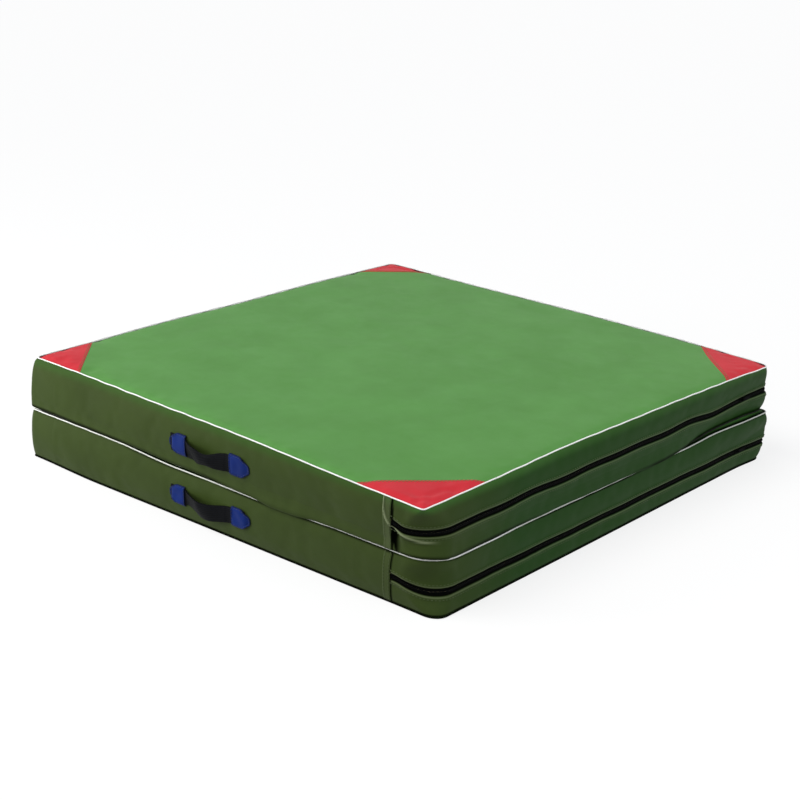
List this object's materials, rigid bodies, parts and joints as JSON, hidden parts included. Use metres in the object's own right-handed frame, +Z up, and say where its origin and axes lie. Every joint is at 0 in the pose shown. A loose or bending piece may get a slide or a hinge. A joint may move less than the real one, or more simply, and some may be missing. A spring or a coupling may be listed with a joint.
{
  "type": "folding gymnastics mat",
  "caption": "Square padded floor mat in two hinged panels folded together, with piped vinyl covers, reinforced corners, zipped ends and webbing carry handles.",
  "frame": {"origin": "middle of the underside that the folded mat rests on", "axes": "+Z up, +X towards the zipped end away from the fold, +Y towards the back handle side"},
  "size_m": [1.0086, 1.0326, 0.1997],
  "materials": {
    "foam": "matte",
    "green_vinyl": "satin",
    "olive_vinyl": "satin",
    "red_vinyl": "satin",
    "piping": "satin",
    "blue_vinyl": "satin",
    "webbing": "matte",
    "zip_tape": "matte",
    "zip_nylon": "satin",
    "zip_metal": "satin"
  },
  "bodies": {
    "lower_panel": {"lower_foam_base": "foam", "lower_foam_top": "foam", "lower_outer_sheet": "green_vinyl", "lower_inner_sheet": "green_vinyl", "lower_corner_patch_hinge_front": "red_vinyl", "lower_corner_patch_hinge_back": "red_vinyl", "lower_corner_patch_zip_front": "red_vinyl", "lower_corner_patch_zip_back": "red_vinyl", "lower_plain_gusset": "olive_vinyl", "lower_zip_gusset_lower": "olive_vinyl", "lower_zip_gusset_upper": "olive_vinyl", "lower_hinge_leaf": "olive_vinyl", "lower_outer_piping": "piping", "lower_inner_piping": "piping", "lower_zip_tape_lower": "zip_tape", "lower_zip_tape_upper": "zip_tape", "lower_zip_chain": "zip_nylon", "lower_front_patch_hinge": "blue_vinyl", "lower_front_strap_end_hinge": "webbing", "lower_front_patch_zip": "blue_vinyl", "lower_front_strap_end_zip": "webbing", "lower_back_patch_hinge": "blue_vinyl", "lower_back_strap_end_hinge": "webbing", "lower_back_patch_zip": "blue_vinyl", "lower_back_strap_end_zip": "webbing"},
    "upper_panel": {"upper_foam_base": "foam", "upper_foam_top": "foam", "upper_outer_sheet": "green_vinyl", "upper_inner_sheet": "green_vinyl", "upper_corner_patch_hinge_front": "red_vinyl", "upper_corner_patch_hinge_back": "red_vinyl", "upper_corner_patch_zip_front": "red_vinyl", "upper_corner_patch_zip_back": "red_vinyl", "upper_plain_gusset": "olive_vinyl", "upper_zip_gusset_lower": "olive_vinyl", "upper_zip_gusset_upper": "olive_vinyl", "upper_hinge_leaf": "olive_vinyl", "upper_outer_piping": "piping", "upper_inner_piping": "piping", "upper_zip_tape_lower": "zip_tape", "upper_zip_tape_upper": "zip_tape", "upper_zip_chain": "zip_nylon", "upper_front_patch_hinge": "blue_vinyl", "upper_front_strap_end_hinge": "webbing", "upper_front_patch_zip": "blue_vinyl", "upper_front_strap_end_zip": "webbing", "upper_back_patch_hinge": "blue_vinyl", "upper_back_strap_end_hinge": "webbing", "upper_back_patch_zip": "blue_vinyl", "upper_back_strap_end_zip": "webbing"},
    "lower_front_handle": {"lower_front_handle_strap": "webbing"},
    "lower_back_handle": {"lower_back_handle_strap": "webbing"},
    "lower_zip_slider": {"lower_zip_slider": "zip_metal"},
    "lower_zip_pull": {"lower_zip_pull": "zip_metal"},
    "upper_front_handle": {"upper_front_handle_strap": "webbing"},
    "upper_back_handle": {"upper_back_handle_strap": "webbing"},
    "upper_zip_slider": {"upper_zip_slider": "zip_metal"},
    "upper_zip_pull": {"upper_zip_pull": "zip_metal"}
  },
  "joints": [
    {"name": "fold", "type": "hinge", "parent": "lower_panel", "child": "upper_panel", "pos_m": [-0.5025, 0, 0.1], "axis": [0, -1, 0], "range_deg": [0, 180]},
    {"name": "lower_front_handle_lift", "type": "hinge", "parent": "lower_panel", "child": "lower_front_handle", "pos_m": [0.002, -0.5013, 0.063], "axis": [-1, 0, 0], "range_deg": [0, 100]},
    {"name": "lower_back_handle_lift", "type": "hinge", "parent": "lower_panel", "child": "lower_back_handle", "pos_m": [0.002, 0.5013, 0.063], "axis": [1, 0, 0], "range_deg": [0, 100]},
    {"name": "lower_zip_slider_travel", "type": "slide", "parent": "lower_panel", "child": "lower_zip_slider", "axis": [0, -1, 0], "range_m": [0, 0.81]},
    {"name": "lower_zip_pull_swing", "type": "hinge", "parent": "lower_zip_slider", "child": "lower_zip_pull", "pos_m": [0.5033, 0.405, 0.038], "axis": [0, 0, -1], "range_deg": [0, 175]},
    {"name": "upper_front_handle_lift", "type": "hinge", "parent": "upper_panel", "child": "upper_front_handle", "pos_m": [0.002, -0.5013, 0.15815], "axis": [-1, 0, 0], "range_deg": [0, 100]},
    {"name": "upper_back_handle_lift", "type": "hinge", "parent": "upper_panel", "child": "upper_back_handle", "pos_m": [0.002, 0.5013, 0.15815], "axis": [1, 0, 0], "range_deg": [0, 100]},
    {"name": "upper_zip_slider_travel", "type": "slide", "parent": "upper_panel", "child": "upper_zip_slider", "axis": [0, -1, 0], "range_m": [0, 0.81]},
    {"name": "upper_zip_pull_swing", "type": "hinge", "parent": "upper_zip_slider", "child": "upper_zip_pull", "pos_m": [0.5033, 0.405, 0.14415], "axis": [0, 0, -1], "range_deg": [0, 175]}
  ]
}
